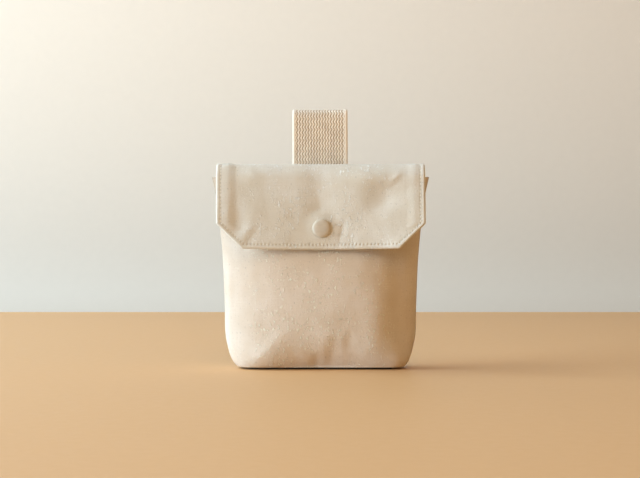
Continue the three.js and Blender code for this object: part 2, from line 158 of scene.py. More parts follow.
Section = namedtuple("Section", "z half_width half_depth flatness roundness")
SECTIONS = [
    Section(0, 54.9, 14.6, 12, 2.6),
    Section(2, 57.5, 15.8, 10, 2.2),
    Section(5, 60, 17.3, 8.2, 1.85),
    Section(9, 62.1, 18.5, 6.8, 1.55),
    Section(13, 63.4, 19.1, 5.9, 1.36),
    Section(20, 65.1, 19.2, 5, 1.18),
    Section(27, 65.8, 18.9, 4.5, 1.1),
    Section(40, 66, 18.2, 4.2, 1.04),
    Section(54, 66.5, 17.2, 4, 1.01),
    Section(67, 67, 15.9, 3.9, 1),
    Section(81, 67.9, 14.4, 3.8, 1),
    Section(95, 69.2, 12.7, 3.6, 1),
    Section(108, 70.7, 10.9, 3.3, 1),
    Section(121, 72.5, 8.7, 2.9, 1),
    Section(131, 74.6, 6.8, 2.6, 1),
]

# A fold runs through (x, z) at an angle from the vertical, positive towards +X at its top. A positive lift
# stands out, a negative one is a trough. The slope on its +X side is that many times wider than the other.
Fold = namedtuple("Fold", "x z angle length width lift wider", defaults=(1,))
FRONT_FOLDS = [
    Fold(-6, 0, 90, 34, 12, -2.6),
    Fold(5, 0, 90, 20, 10, -1.2),
    Fold(14, 44, 12, 38, 42, 2.8, 1.6),
    Fold(28, 68, 0, 10, 9, 0.6, 1.5),
    Fold(-20, 6, 0, 10, 16, 1.1, 1.9),
    Fold(-2.5, 7, 8, 6, 4, -0.8),
    Fold(8.5, 13, 14, 10, 5, -1.1),
    Fold(21, 12, 20, 9, 8, -0.8),
    Fold(19, 19, 15, 6, 4, -0.6),
    Fold(-36, 12, 46, 17, 6.5, 2.2, 2.2),
    Fold(36, 24, 2, 22, 8, 0.5, 0.8),
    Fold(53, 35, -3, 33, 8, -2.4),
    Fold(34, 7, 90, 24, 9, -1.2),
    Fold(52, 16, 0, 15, 13, -1.2),
    Fold(40, 12, -51, 15, 6.5, 0.4),
    Fold(-69, 36, 0, 46, 11, 1.9),
    Fold(2, 66, 0, 9, 22, 0.7, 2.5),
    Fold(55, 8, -35, 13, 9, 2.2),
]
BACK_FOLDS = [
    Fold(12, 14, 6, 12, 5, -0.9),
    Fold(-9, 12, -9, 10, 4.5, -0.8),
    Fold(-46, 16, 50, 14, 6, -0.9),
    Fold(45, 18, -48, 15, 6, -0.9),
    Fold(28, 62, 18, 30, 9, 0.6),
    Fold(-30, 54, -14, 26, 8, -0.6),
]
FLAP_FOLDS = [
    Fold(0.7, 115, -8, 19, 10, -1.5),
    Fold(4, 93, 12, 9, 6, -0.7, 1.5),
    Fold(26, 120, 10, 10, 8, 0.5),
    Fold(44, 116, 38, 12, 8, -1.3),
    Fold(34, 130, 0, 7, 16, 2.1, 2.5),
    Fold(-44, 131, 0, 6, 9, 0.8, 2.5),
    Fold(0.5, 105, 5, 6, 4.5, -0.3, 1.6),
    Fold(-55, 101, 0, 13, 6, -1),
    Fold(-50.5, 92, 40, 7, 3.2, 0.5),
    Fold(-46, 89, 40, 6, 3, -0.4),
    Fold(-6, 100, 5, 9, 7, -0.6),
    Fold(14.5, 92, 16, 8, 2.4, -0.6),
    Fold(44, 89, 0, 7, 4, -0.3),
    Fold(-18, 104, 10, 5, 4, -0.4),
    Fold(-18, 87, 0, 6, 4, -0.25),
    Fold(27, 87, 0, 7, 5, 0.3),
    Fold(51, 129, 55, 4.5, 1.6, 0.45),
    Fold(50, 124, 70, 4, 1.6, -0.2),
]

LoopLeg = namedtuple("LoopLeg", "z front_y back_y")
LOOP_LEGS = [
    LoopLeg(124, 13.5, 16.2),
    LoopLeg(132, 12.9, 17.4),
    LoopLeg(142, 12.2, 19.3),
    LoopLeg(152, 11.6, 20.7),
    LoopLeg(162, 11.3, 21.4),
]

# The flap's turned-in allowance, as a band beside each side edge: where its crest is from the edge, how wide
# it falls off inward, how far it stands out, and which part of that it keeps next to the sewing.
Allowance = namedtuple("Allowance", "crest fall lift kept")
LEFT_ALLOWANCE = Allowance(8, 6.5, 0.58, 0.5)
RIGHT_ALLOWANCE = Allowance(7.3, 5.5, 0.36, 0.3)

Ripple = namedtuple("Ripple", "seed count shortest longest height")
FRONT_RIPPLE = Ripple(11, 40, 9, 45, 0.12)
BACK_RIPPLE = FRONT_RIPPLE._replace(seed=12)
FLAP_RIPPLE = Ripple(23, 40, 8, 40, 0.09)
RIPPLE_GROWTH = 0.6


def smooth(value):
    value = np.clip(value, 0, 1)
    return value * value * (3 - 2 * value)


def hump(value, centre, width):
    return np.exp(-(((value - centre) / width) ** 2))


def fold_lift(folds, x, z):
    lift = np.zeros(np.broadcast(x, z).shape)
    for fold in folds:
        angle = radians(fold.angle)
        dx, dz = x - fold.x, z - fold.z
        along = dx * sin(angle) + dz * cos(angle)
        across = dx * cos(angle) - dz * sin(angle)
        width = np.where(across > 0, fold.width * fold.wider, fold.width)
        lift += fold.lift * np.exp(-((along / fold.length) ** 2) - (across / width) ** 2)
    return lift


def ripples(kind, x, z):
    """Slight unevenness of soft cloth: waves of many lengths and directions, the same on each run."""
    random = np.random.default_rng(kind.seed)
    lift = np.zeros(np.broadcast(x, z).shape)
    for _ in range(kind.count):
        length = kind.shortest * (kind.longest / kind.shortest) ** random.random()
        turn, phase = random.uniform(0, pi), random.uniform(0, 2 * pi)
        size = (length / kind.longest) ** RIPPLE_GROWTH
        wave = (x * cos(turn) + z * sin(turn)) * 2 * pi / length
        lift += size * np.sin(wave + phase)
    return lift * kind.height / sqrt(kind.count / 2)


def section_value(column, z):
    """A smooth curve through one column of the section table."""
    heights, values = (np.array([getattr(row, key) for row in SECTIONS], float) for key in ("z", column))
    rise, run = (np.pad(known, 1, "edge")[2:] - np.pad(known, 1, "edge")[:-2] for known in (values, heights))
    slopes = rise / run
    row = np.clip(np.searchsorted(heights, z) - 1, 0, len(heights) - 2)
    span = heights[row + 1] - heights[row]
    t = np.clip((z - heights[row]) / span, 0, 1)
    leave = t * (1 - t) ** 2 * span * slopes[row]
    arrive = t * t * (t - 1) * span * slopes[row + 1]
    return values[row] + (values[row + 1] - values[row]) * smooth(t) + leave + arrive


def level_outline(z, gap):
    """Half of the body's outline at each height, from the left side seam to the right one, on the +Y side."""
    across = np.sin(np.linspace(-pi / 2, pi / 2, OUTLINE_STEPS + 1))
    half_width, half_depth, flatness, roundness = (section_value(c, z)[:, None] for c in Section._fields[1:])
    square = RIGHT_SQUARE * hump(z[:, None], RIGHT_SQUARE_HEIGHT, RIGHT_SQUARE_FADE)
    flatness = flatness * (1 + square * (across > 0))
    rise = np.maximum(0, 1 - np.abs(across) ** flatness) ** (1 / roundness)
    return np.stack([half_width * across, gap / 2 + half_depth * rise], 2)


def unit(vectors):
    return vectors / np.linalg.norm(vectors, axis=-1, keepdims=True)


def level_normals(points):
    along = unit(np.gradient(points, axis=-2))
    return np.stack([-along[..., 1], along[..., 0]], -1)


def inset(points, cloth, floor):
    """One outline moved inward by the thickness of the cloth and cut off at the seam plane."""
    moved = points - level_normals(points) * cloth
    moved = moved[moved[:, 1] > floor + TINY]

    def extend(tip, beside):
        run = (tip[0] - beside[0]) / max(TINY, beside[1] - tip[1])
        return [tip[0] + run * (tip[1] - floor), floor]

    return np.vstack([extend(moved[0], moved[1]), moved, extend(moved[-1], moved[-2])])


def distance_along(points):
    """The distance along a polyline from its first point to each of its points."""
    steps = np.linalg.norm(np.diff(points, axis=0), axis=1)
    return np.concatenate([[0], np.cumsum(steps)])


def look_up(rows, reach, target):
    """The rows of a table, blended to the target distances."""
    return np.column_stack([np.interp(target, reach, column) for column in rows.T])


def spread(points, places):
    """Points and normals of a polyline at places from -1 to 1 along it, and half its length."""
    reach = distance_along(points)
    half = reach[-1] / 2
    target = half * (1 + places)
    return look_up(points, reach, target), unit(look_up(level_normals(points), reach, target)), half


def with_height(points, z):
    return np.column_stack([points, np.full(len(points), z)])


snap_depth = section_value("half_depth", SNAP_HEIGHT) + SEAM_GAP / 2
depth_below, depth_above = section_value("half_depth", [SNAP_HEIGHT - SNAP_REACH, SNAP_HEIGHT + SNAP_REACH])
snap_lean = (depth_below - depth_above) / (2 * SNAP_REACH)


def seat_weight(x, z, held=SNAP_SEAT_RADIUS, fade=SNAP_SEAT_FADE):
    """How far the cloth is held flat by the snap: fully under it, not at all further out."""
    radius = np.hypot(x - SNAP_X, z - SNAP_HEIGHT)
    return smooth((held + fade - radius) / fade)


# Mesh making


def add_object(name, data):
    added = bpy.data.objects.new(name, data)
    bpy.context.scene.collection.objects.link(added)
    return added


def make_mesh(name, points, faces, uv=None, attributes=None):
    """A smooth mesh object. Points and uv are millimetres; each array in faces has one number of corners."""
    corners = np.concatenate([group.ravel() for group in faces]).astype(np.int32)
    sizes = np.concatenate([np.full(len(group), group.shape[1]) for group in faces])
    mesh = bpy.data.meshes.new(name)
    mesh.vertices.add(len(points))
    mesh.vertices.foreach_set("co", (points * MM).astype(np.float32).ravel())
    mesh.loops.add(len(corners))
    mesh.loops.foreach_set("vertex_index", corners)
    mesh.polygons.add(len(sizes))
    mesh.polygons.foreach_set("loop_start", (np.cumsum(sizes) - sizes).astype(np.int32))
    mesh.polygons.foreach_set("use_smooth", np.ones(len(sizes), bool))
    if uv is not None:
        layer = mesh.uv_layers.new(name="cloth")
        layer.data.foreach_set("uv", (uv[corners] / UV_SPAN).astype(np.float32).ravel())
    for key, values in (attributes or {}).items():
        attribute = mesh.attributes.new(key, "FLOAT", "POINT")
        attribute.data.foreach_set("value", values.astype(np.float32))
    mesh.update(calc_edges=True)
    mesh.validate()
    return add_object(name, mesh)


def make_shell(name, outer, inner, uv, attributes):
    """One closed thin sheet from two grids of points that share their rim."""
    ids = np.arange(outer[..., 0].size).reshape(outer.shape[:2])
    count = ids.size
    sheet = np.stack([ids[:-1, :-1], ids[:-1, 1:], ids[1:, 1:], ids[1:, :-1]], -1).reshape(-1, 4)
    border = np.concatenate([ids[0, :-1], ids[:-1, -1], ids[-1, :0:-1], ids[:0:-1, 0]])
    following = np.roll(border, -1)
    rim = np.stack([following, border, border + count, following + count], 1)
    quads = np.vstack([sheet, sheet[:, ::-1] + count, rim])
    points = np.vstack([outer.reshape(-1, 3), inner.reshape(-1, 3)])
    a, b, c, d = np.moveaxis(points[quads], 1, 0)
    if np.sum(a * (np.cross(b, c) + np.cross(c, d))) < 0:
        quads = quads[:, ::-1]
    twice = lambda values: np.concatenate([values.reshape(count, -1)] * 2)
    channels = {key: twice(values).ravel() for key, values in attributes.items()}
    return make_mesh(name, points, [quads], twice(uv), channels)


def ring_faces(rings, sides):
    """Point numbers of rings that follow each other, and the quads between those rings."""
    ids = np.arange(rings * sides).reshape(rings, sides)
    after = np.roll(ids, -1, axis=1)
    return ids, np.stack([ids[:-1], after[:-1], after[1:], ids[1:]], -1).reshape(-1, 4)


def grid_normals(points):
    return unit(np.cross(np.gradient(points, axis=0), np.gradient(points, axis=1)))


def rolled_thickness(to_edge, roll, cloth):
    """Half the thickness of a cloth whose edge is round over that much of its width."""
    part = np.sqrt(np.maximum(0, 1 - (1 - np.clip(to_edge / roll, 0, 1)) ** 2))
    return np.maximum(THINNEST, cloth / 2 * part)


# Body panels

PANEL_HALF = 76
PANEL_EDGE_STEP = 0.35
PANEL_EDGE_REACH = 3.5
PANEL_STEP = 0.76
LIP_ROWS = 7
BASE_ROWS = 12
BASE_PARTS = np.arange(BASE_ROWS) / BASE_ROWS
HEM_STITCH_HEIGHT = MOUTH_HEIGHT - HEM_HEIGHT + 1
SEAM_END_HEIGHT = MOUTH_HEIGHT - 18
SEAM_END_FADE = 14
INSIDE_SEAM = 0.6
INSIDE_FOOT = 0.5


def panel_places():
    """Columns from one side seam at -1 to the other at 1, close together near the seams."""
    near = np.arange(0, PANEL_EDGE_REACH, PANEL_EDGE_STEP)
    even = np.linspace(PANEL_EDGE_REACH, PANEL_HALF, round((PANEL_HALF - PANEL_EDGE_REACH) / PANEL_STEP) + 1)
    left = np.concatenate([near, even]) / PANEL_HALF - 1
    return np.concatenate([left, -left[-2::-1]])


def panel_heights():
    """Rows of the wall, close together in the lip at its foot."""
    lip = BASE_LIP + BASE_LIP_ROUND * np.linspace(0, 1, LIP_ROWS)
    wall = np.linspace(BASE_ROUND, MOUTH_HEIGHT, round((MOUTH_HEIGHT - BASE_ROUND) / PANEL_STEP) + 1)
    return np.concatenate([[0, BASE_LIP / 2], lip, wall])


def hem_stitch_groove(z, length):
    """The pulled-in line of a row of sewing, deepest where the thread goes through."""
    beat = 1 - HEM_BEAT + HEM_BEAT * np.cos(2 * pi * length / STITCH_PITCH)
    return hump(z, HEM_STITCH_HEIGHT, GROOVE_WIDTH) * beat


def panel_row(z, outline, places, folds, has_snap, ripple):
    """One level of a panel: its points outside and inside, and their distances from the middle."""
    found, facing, half = spread(outline, places)
    cloth = HEM_CLOTH if z > MOUTH_HEIGHT - HEM_HEIGHT else CANVAS
    found_inside, facing_inside, _ = spread(inset(outline, cloth, FINE_SEAM_GAP / 2), places)
    x, length, to_seam = found[:, 0], places * half, 1 - np.abs(places)
    fade = smooth(to_seam / FOLD_FADE_SIDE) * smooth((z - FOLD_START) / FOLD_FADE_HEIGHT)
    seat = seat_weight(x, z) if has_snap else 0
    lift = (fold_lift(folds, x, z) + ripples(ripple, length, z)) * fade * (1 - seat)
    seat_move = seat * (snap_depth - snap_lean * (z - SNAP_HEIGHT) - found[:, 1])
    seam = SEAM_VALLEY * (1 - smooth((z - SEAM_END_HEIGHT) / SEAM_END_FADE))
    seam = np.sign(places) * seam * hump(to_seam * half, 0, SEAM_VALLEY_WIDTH)
    foot = BASE_OVERHANG * (1 - smooth((z - BASE_LIP) / BASE_LIP_ROUND))

    def moved(points, normals, push, pull_in, height):
        row = points + normals * push[:, None]
        row[:, 0] += BODY_SHIFT - pull_in
        row[:, 1] = np.maximum(row[:, 1] + seat_move, FINE_SEAM_GAP / 2)
        return with_height(row, height)

    push = lift - foot - GROOVE_DEPTH * hem_stitch_groove(z, length)
    height_inside = BASE_CLOTH + (MOUTH_HEIGHT - BASE_CLOTH) * z / MOUTH_HEIGHT
    outside = moved(found, facing, push, seam, z)
    inside = moved(found_inside, facing_inside, lift - INSIDE_FOOT * foot, INSIDE_SEAM * seam, height_inside)
    return outside, inside, length


def with_base(places, rows):
    """Rows of a wall after those of the base, which run from its middle seam out to the foot of the wall."""
    foot = rows[0]
    spine = np.column_stack([places * SPINE_HALF, np.full(len(places), FINE_SEAM_GAP / 2), foot[:, 2]])
    return np.array([spine + (foot - spine) * part for part in BASE_PARTS] + list(rows))


def build_panel(name, side, folds, has_snap, ripple):
    places, heights = panel_places(), panel_heights()
    outlines = level_outline(heights, FINE_SEAM_GAP)
    rows = [panel_row(z, outline, places, folds, has_snap, ripple) for z, outline in zip(heights, outlines)]
    outside, inside, lengths = zip(*rows)
    outer, inner = (with_base(places, wall) * np.array([1, side, 1]) for wall in (outside, inside))
    u = np.vstack([[lengths[0]] * BASE_ROWS, lengths])
    up = np.concatenate([BASE_REACH * (BASE_PARTS - 1), heights])
    v = np.broadcast_to(up[:, None], u.shape)
    to_seam = np.abs(u).max(axis=1, keepdims=True) - np.abs(u)
    # The material paints the sewing line and the side seams darker, as painted shade.
    groove_painted_shade = np.maximum(hem_stitch_groove(v, u), hump(to_seam, 0, SEAM_VALLEY_WIDTH))
    # Painted shade: the lip's underside and the recessed wall behind it are painted nearly black, for the
    # shadow under the base.
    base_painted_shade = smooth((BASE_LIP + BASE_LIP_ROUND - outer[..., 2]) / BASE_LIP_ROUND) * (v >= 0)
    return make_shell(name, outer, inner, np.stack([u, v], 2), {"groove_painted_shade": groove_painted_shade, "base_painted_shade": base_painted_shade})


# Flap

FLAP_EDGE_STEPS = [0, 0.1, 0.25, 0.45, 0.7, 1.0, 1.3, 1.6, 1.9, 2.2, 2.45, 2.7, 2.95, 3.2, 3.45, 3.7, 3.95,
                   4.3, 4.8, 5.4, 6.0, 6.6, 7.2, 7.8, 8.4, 9.0]
FLAP_STEP = 0.72
TAIL_STEP = 0.9
ARCH_ROWS = 45
ARCH_PASSES = 24
JOINT_ROWS = 16
JOINT_PASSES = 70
CHAMFER_HEIGHT = CHAMFER_START - FLAP_BOTTOM
CHAMFER_EDGE = hypot(CHAMFER_WIDTH, CHAMFER_HEIGHT)
SIDE_SEWING_END = 1.5
TAIL_SEWING = (2.5, 8.5)
RAISED_FADE = 4
RAISED_TAIL = 20
RAISED_TAIL_FADE = 8
RIPPLE_FADE = 6
PALER_EDGE_WIDTH = 0.7
INSIDE_GROOVE = 0.3

flap_snap_depth = snap_depth + STAND_OFF + FLAP_CLOTH / 2
flap_foot_depth = section_value("half_depth", ARCH_FOOT) + MOUTH_CLEARANCE + FLAP_CLOTH / 2


def flap_front_depth(z):
    """Depth of the middle of the cloth in front: parallel to the panel at the snap, closer in at the top."""
    straight = lambda height: flap_snap_depth - snap_lean * (height - SNAP_HEIGHT)
    above = np.clip((z - SNAP_HEIGHT) / (ARCH_FOOT - SNAP_HEIGHT), 0, 1)
    return straight(z) + (flap_foot_depth - straight(ARCH_FOOT)) * above * above


def flap_hollow(places, z):
    """How far the cloth in front comes forward towards its side edges, which makes it hollow."""
    reach = np.where(places < 0, HOLLOW_LEFT, HOLLOW_RIGHT)
    return reach * places**2 * smooth((FLAP_TOP - z) / HOLLOW_FADE)


def flap_left_in(places):
    """How far the cloth in front is drawn in at its left edge."""
    return FLAP_LEFT_IN * (1 - places) / 2


def flap_half_width(z):
    below = np.clip((CHAMFER_START - z) / CHAMFER_HEIGHT, 0, 1)
    above = np.clip((z - CHAMFER_START) / (FLAP_TOP - CHAMFER_START), 0, 1)
    return FLAP_HALF_WIDTH + (FLAP_TOP_HALF_WIDTH - FLAP_HALF_WIDTH) * above - CHAMFER_WIDTH * below


def flap_places():
    edge = np.array(FLAP_EDGE_STEPS) / FLAP_HALF_WIDTH
    inner = 1 - edge[-1]
    middle = np.linspace(-inner, inner, round(2 * inner * FLAP_HALF_WIDTH / FLAP_STEP) + 1)
    return np.concatenate([-1 + edge[:-1], middle, (1 - edge[:-1])[::-1]])


# One row of the flap's cloth. The drop is 1 where it hangs in front and 0 behind.
FlapRow = namedtuple("FlapRow", "points half_width drop")


def flap_tail(places, heights, gaps):
    """Rows that follow the outside of the back panel at those gaps."""
    rows = []
    for outline, z, gap in zip(level_outline(heights, SEAM_GAP), heights, gaps):
        half = distance_along(outline)[-1] / 2
        found, facing, _ = spread(outline, places * TAIL_HALF_WIDTH / half)
        points = with_height(found + facing * (gap + FLAP_CLOTH / 2), z)
        rows.append(FlapRow(points, TAIL_HALF_WIDTH, 0.0))
    return rows


def flap_arch(places):
    """Rows that lead from the top of the tail over the mouth to the front."""
    foot = flap_tail(places, np.array([ARCH_FOOT]), [TAIL_CLEARANCE])[0].points
    front = flap_front_depth(ARCH_FOOT)
    rise = FLAP_TOP - FLAP_CLOTH / 2 - ARCH_FOOT
    rows = []
    for angle in np.linspace(0, pi, ARCH_ROWS + 1)[:-1]:
        across = (1 - cos(angle)) / 2
        over, drop = smooth(2 * across), smooth(2 * across - 1)
        z = ARCH_FOOT + rise * sin(angle)
        half_width = flap_half_width(z)
        x = foot[:, 0] + (places * half_width + flap_left_in(places) - foot[:, 0]) * over
        y = (foot[:, 1] - front) / 2 + (foot[:, 1] + front) / 2 * cos(angle)
        points = with_height(np.column_stack([x, y - drop * flap_hollow(places, z)]), z)
        rows.append(FlapRow(points, TAIL_HALF_WIDTH + (half_width - TAIL_HALF_WIDTH) * over, drop))
    return rows


def flap_front(places):
    """Rows of the cloth that hangs in front, down to its lower edge."""
    height = ARCH_FOOT - FLAP_BOTTOM
    even = np.linspace(FLAP_EDGE_STEPS[-1], height, round(height / FLAP_STEP))
    rows = []
    for up in np.concatenate([FLAP_EDGE_STEPS[:-1], even])[::-1]:
        z = FLAP_BOTTOM + up
        half_width = flap_half_width(z)
        sag = FLAP_SAG * (1 - places**2) * (1 - np.clip(up / FLAP_SAG_HEIGHT, 0, 1))
        depth = flap_front_depth(z) + flap_hollow(places, z)
        points = np.column_stack([places * half_width + flap_left_in(places), -depth, z - sag])
        rows.append(FlapRow(points, half_width, 1.0))
    return rows


def ease_lengthwise(rows, passes):
    """Rows of points with the kinks between them eased out; the first and last two rows stay."""
    grid = np.array(rows)
    for _ in range(passes):
        grid[2:-2] = grid[2:-2] / 2 + (grid[1:-3] + grid[3:-1]) / 4
    return grid


def flap_centre():
    """The middle of the flap's cloth as a grid of points, from the tail on the back, over the top, down the
    front, with each row's half width and drop."""
    places = flap_places()
    heights = np.arange(TAIL_END, ARCH_FOOT, TAIL_STEP)
    loosen = smooth((heights - TAIL_SEWN) / (ARCH_FOOT - TAIL_SEWN))
    gaps = SEWN_GAP + (TAIL_CLEARANCE - SEWN_GAP) * loosen
    rows = flap_tail(places, heights, gaps) + flap_arch(places)
    joint = len(rows)
    rows += flap_front(places)
    points, widths, drops = (np.array(column) for column in zip(*rows))
    points[:joint] = ease_lengthwise(points[:joint], ARCH_PASSES)
    near_joint = slice(joint - JOINT_ROWS, joint + JOINT_ROWS)
    points[near_joint] = ease_lengthwise(points[near_joint], JOINT_PASSES)
    return places, points, widths, drops


SewnRun = namedtuple("SewnRun", "start end")


def sewn_path(points):
    return [SewnRun(start, end) for start, end in zip(points, points[1:])]


def flap_runs(length):
    """Straight rows of sewing on the flap's cloth, as (u, v): v is measured up from the bottom edge."""
    low = STITCH_INSET
    corner_u = FLAP_HALF_WIDTH - CHAMFER_WIDTH - low * (CHAMFER_EDGE - CHAMFER_WIDTH) / CHAMFER_HEIGHT
    shoulder_u = FLAP_HALF_WIDTH - STITCH_INSET
    border = [
        (corner_u, low),
        (shoulder_u, low + (shoulder_u - corner_u) * CHAMFER_HEIGHT / CHAMFER_WIDTH),
        (FLAP_TOP_HALF_WIDTH - STITCH_INSET, FLAP_TOP - FLAP_BOTTOM),
        (TAIL_HALF_WIDTH - STITCH_INSET, length - SIDE_SEWING_END),
    ]
    runs = [SewnRun((-corner_u, low), (corner_u, low))]
    for side in (1, -1):
        runs += sewn_path([(side * u, v) for u, v in border])
    return runs + [SewnRun((-shoulder_u, length - up), (shoulder_u, length - up)) for up in TAIL_SEWING]


def run_groove(run, u, v):
    """How deep a row of sewing pulls the cloth in at (u, v), from 0 to 1."""
    du, dv = run.end[0] - run.start[0], run.end[1] - run.start[1]
    length = hypot(du, dv)
    along = ((u - run.start[0]) * du + (v - run.start[1]) * dv) / length
    aside = ((u - run.start[0]) * dv - (v - run.start[1]) * du) / length
    stitches = max(1, round(length / STITCH_PITCH))
    beat = (1 + np.cos(2 * pi * along * stitches / length)) / 2
    within = smooth(along / GROOVE_END + 1) * smooth((length - along) / GROOVE_END + 1)
    return hump(aside, 0, GROOVE_WIDTH) * within * beat


def allowance_lift(band, to_side):
    """How far the turned-in allowance lifts the cloth at that distance from its side edge."""
    rise = smooth((to_side - STITCH_INSET) / (band.crest - STITCH_INSET))
    fall = smooth((band.crest + band.fall - to_side) / band.fall)
    return band.lift * fall * (band.kept + (1 - band.kept) * rise)


def raised_bands(u, v, to_side, length):
    """Both allowances, which end at the cut-off corners and where the tail is sewn on."""
    band = np.where(u < 0, allowance_lift(LEFT_ALLOWANCE, to_side), allowance_lift(RIGHT_ALLOWANCE, to_side))
    above_corner = smooth((v - CHAMFER_HEIGHT + RAISED_FADE) / RAISED_FADE)
    return band * above_corner * smooth((length - RAISED_TAIL - v) / RAISED_TAIL_FADE)


def flap_edges(u, v, widths, length):
    """Distances of the flap's points from their side edge, and from the nearest edge."""
    to_side = widths[:, None] - np.abs(u)
    beyond = (np.abs(u) - (FLAP_HALF_WIDTH - CHAMFER_WIDTH)) * CHAMFER_HEIGHT - v * CHAMFER_WIDTH
    to_edge = np.min([to_side, -beyond / CHAMFER_EDGE, v, length - v], axis=0)
    return to_side, np.maximum(to_edge, 0)


def build_flap():
    places, centre, widths, drops = flap_centre()
    up = distance_along(centre[::-1, centre.shape[1] // 2])[::-1]
    length = up[0]
    u = places * widths[:, None]
    v = np.broadcast_to(up[:, None], u.shape)
    runs = flap_runs(length)
    # The sewing grooves pull the cloth in and are also painted darker by the material, as painted shade.
    groove_painted_shade = np.max([run_groove(run, u, v) for run in runs], axis=0)
    to_side, to_edge = flap_edges(u, v, widths, length)
    normal = grid_normals(centre)
    x, z, drop = centre[..., 0], centre[..., 2], drops[:, None]
    held = seat_weight(x, z, FLAP_SEAT_RADIUS, FLAP_SEAT_FADE) * drop
    pressed = seat_weight(x, z, SNAP_PRESS_RADIUS - SNAP_PRESS_FADE, SNAP_PRESS_FADE) * drop
    wave = drop * fold_lift(FLAP_FOLDS, x, z) + ripples(FLAP_RIPPLE, u, v) * smooth(to_edge / RIPPLE_FADE)
    wave = wave * (1 - held)
    half = rolled_thickness(to_edge, ROLLED_EDGE, FLAP_CLOTH)
    top = wave + half + raised_bands(u, v, to_side, length) - GROOVE_DEPTH * groove_painted_shade - SNAP_PRESS * pressed
    bottom = wave - half + INSIDE_GROOVE * GROOVE_DEPTH * groove_painted_shade
    outer, inner = (centre + normal * away[..., None] for away in (top, bottom))
    # The cloth is painted paler towards its edges.
    attributes = {"groove_painted_shade": groove_painted_shade, "paler_edge": np.exp(-to_edge / PALER_EDGE_WIDTH)}
    piece = make_shell("flap_canvas", outer, inner, np.stack([u, v], 2), attributes)
    return piece, Surface(outer[::-1], places, widths[::-1], up[::-1]), runs


class Surface:
    """Looks up points and normals on the outside of a grid of cloth by (u, v), with v rising row by row."""

    def __init__(self, points, places, widths, v):
        self.points, self.normals = points, -grid_normals(points)
        self.places, self.widths, self.v = places, widths, v

    def at(self, u, v):
        row = np.interp(v, self.v, np.arange(len(self.v)))
        column = np.interp(u / np.interp(v, self.v, self.widths), self.places, np.arange(len(self.places)))
        r = np.clip(row.astype(int), 0, len(self.v) - 2)
        c = np.clip(column.astype(int), 0, len(self.places) - 2)
        along, across = (row - r)[:, None], (column - c)[:, None]

        def blend(grid):
            here = grid[r, c] * (1 - across) + grid[r, c + 1] * across
            after = grid[r + 1, c] * (1 - across) + grid[r + 1, c + 1] * across
            return here * (1 - along) + after * along

        return blend(self.points), unit(blend(self.normals))


# Sewing

STITCH_SIDES = 6
STITCH_FLATNESS = 1.1

# Rings of a stitch: their place along it, their size as a part of its width, and their height over the cloth.
StitchRing = namedtuple("StitchRing", "part size lift")
STITCH_RISE = [StitchRing(0, 0.35, -0.2), StitchRing(0.1, 0.8, 0.05), StitchRing(0.3, 1, 0.22)]
STITCH_RINGS = STITCH_RISE + [ring._replace(part=1 - ring.part) for ring in STITCH_RISE[::-1]]


def stitch_ends(surface, run):
    """Start, end and normal of each stitch of a straight run on a surface."""
    start, end = np.array(run.start), np.array(run.end)
    count = max(1, round(np.linalg.norm(end - start) / STITCH_PITCH))
    share = (1 - STITCH_SHARE) / 2
    part = np.arange(count)[:, None]
    first, normal = surface.at(*(start + (end - start) * (part + share) / count).T)
    last, _ = surface.at(*(start + (end - start) * (part + 1 - share) / count).T)
    return first, last, normal


def build_stitches(name, surface, runs):
    """Short rounded threads that rise out of the cloth and go back in, as one mesh."""
    columns = zip(*(stitch_ends(surface, run) for run in runs))
    first, last, normal = (np.vstack(column) for column in columns)
    length = np.linalg.norm(last - first, axis=1, keepdims=True)
    along = (last - first) / length
    normal = unit(normal - along * np.sum(normal * along, axis=1, keepdims=True))
    aside = np.cross(along, normal) * STITCH_FLATNESS
    points, uv = [], []
    for ring in STITCH_RINGS:
        centre = first + (last - first) * ring.part + normal * ring.lift
        for turn in np.arange(STITCH_SIDES) * 2 * pi / STITCH_SIDES:
            out = aside * cos(turn) + normal * sin(turn)
            points.append(centre + out * STITCH_WIDTH / 2 * ring.size)
            uv.append(np.column_stack([length * ring.part, np.full(len(first), turn)]))
    ids, tube = ring_faces(len(STITCH_RINGS), STITCH_SIDES)
    ends = [ring[half] for ring in (ids[0, ::-1], ids[-1]) for half in ([0, 1, 2, 3], [0, 3, 4, 5])]
    faces = np.vstack([tube, ends]) + (np.arange(len(first)) * ids.size)[:, None, None]
    points, uv = (np.stack(rows, 1).reshape(-1, rows[0].shape[1]) for rows in (points, uv))
    return make_mesh(name, points, [faces.reshape(-1, 4)], uv)


# Webbing loop

WEBBING_STEP = 0.44
WEBBING_COLUMN_STEP = 0.33
WEAVE_PITCH = 1.96
WEAVE_PERIOD = 3.73
WEAVE_SWING = 0.3
WEAVE_DEPTH = 0.5
WEAVE_GROOVE = 0.17
TUCK_WIDTH = 0.3
TUCK_DEPTH = 0.45
SELVAGE = 1.9
SELVAGE_FADE = 0.3
SELVAGE_STEPS = np.array([0, 0.08, 0.2, 0.4, 0.65, 0.95, 1.3, 1.6])
SELVAGE_ROLL = 0.95
RELIEF_FADE = 0.8
RIB_PITCH = 0.93
RIB_HEIGHT = 0.1
SWAY = 0.1
SWAY_LENGTH = 23
SWAY_FADE = 20
LOOP_SPAN_STEPS = 24
TACK_HALF_WIDTH = 16.5
TACK_START = 1.5
TACK_HEIGHT = 12


